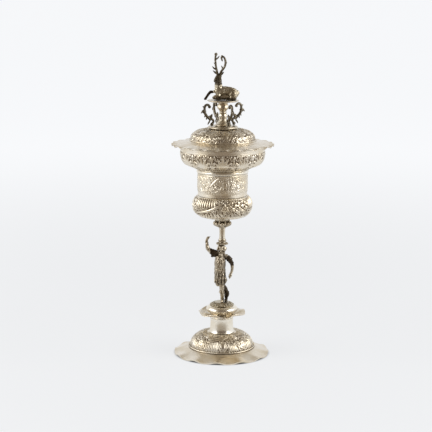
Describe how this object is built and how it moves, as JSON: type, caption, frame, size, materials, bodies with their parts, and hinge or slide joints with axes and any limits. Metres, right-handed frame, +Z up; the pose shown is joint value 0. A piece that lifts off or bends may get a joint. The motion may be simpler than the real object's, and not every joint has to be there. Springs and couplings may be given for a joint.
{
  "type": "covered standing cup",
  "caption": "Covered silver standing cup: wavy domed foot, cast figure stem, embossed bowl, and a lift-off scalloped cover with scroll brackets and a recumbent stag.",
  "frame": {"origin": "on the table, under the middle of the foot, on the cup's turning axis", "axes": "+Z up along the turning axis, -Y towards the viewer that the figure faces, +X to that viewer's right"},
  "size_m": [0.1174, 0.1174, 0.35],
  "materials": {
    "silver_embossed": "satin",
    "silver_polished": "gloss",
    "silver_cast": "satin",
    "fixing_brass": "satin"
  },
  "bodies": {
    "cup": {"foot_dome": "silver_embossed", "foot_spool": "silver_polished", "spool_collar": "silver_embossed", "spool_cushion": "silver_polished", "figure_mound": "silver_embossed", "foot_stud": "fixing_brass", "foot_washer": "fixing_brass", "foot_wing_nut": "fixing_brass", "figure_body": "silver_cast", "figure_head": "silver_cast", "figure_raised_arm": "silver_cast", "figure_lowered_arm": "silver_cast", "head_basket": "silver_cast", "stem_column": "silver_polished", "bowl_calyx": "silver_cast", "bowl_stud": "fixing_brass", "bowl_bulb": "silver_embossed", "bowl_drum": "silver_embossed", "bowl_ring": "silver_polished", "bowl_lip": "silver_embossed", "bowl_rim": "silver_polished"},
    "cover": {"cover_shell": "silver_embossed", "cover_bezel": "silver_polished", "finial_base": "silver_polished", "finial_vase": "silver_polished", "finial_bracket_1": "silver_cast", "finial_bracket_2": "silver_cast", "finial_bracket_3": "silver_cast", "finial_bracket_4": "silver_cast", "finial_disc": "silver_polished", "stag_body": "silver_cast", "stag_antler_left": "silver_cast", "stag_antler_right": "silver_cast", "finial_bolt": "fixing_brass", "finial_washer": "fixing_brass", "finial_nut": "fixing_brass"}
  },
  "joints": [
    {"name": "cover_lift", "type": "slide", "parent": "cup", "child": "cover", "axis": [0, 0, 1], "range_m": [0, 0.08]}
  ]
}
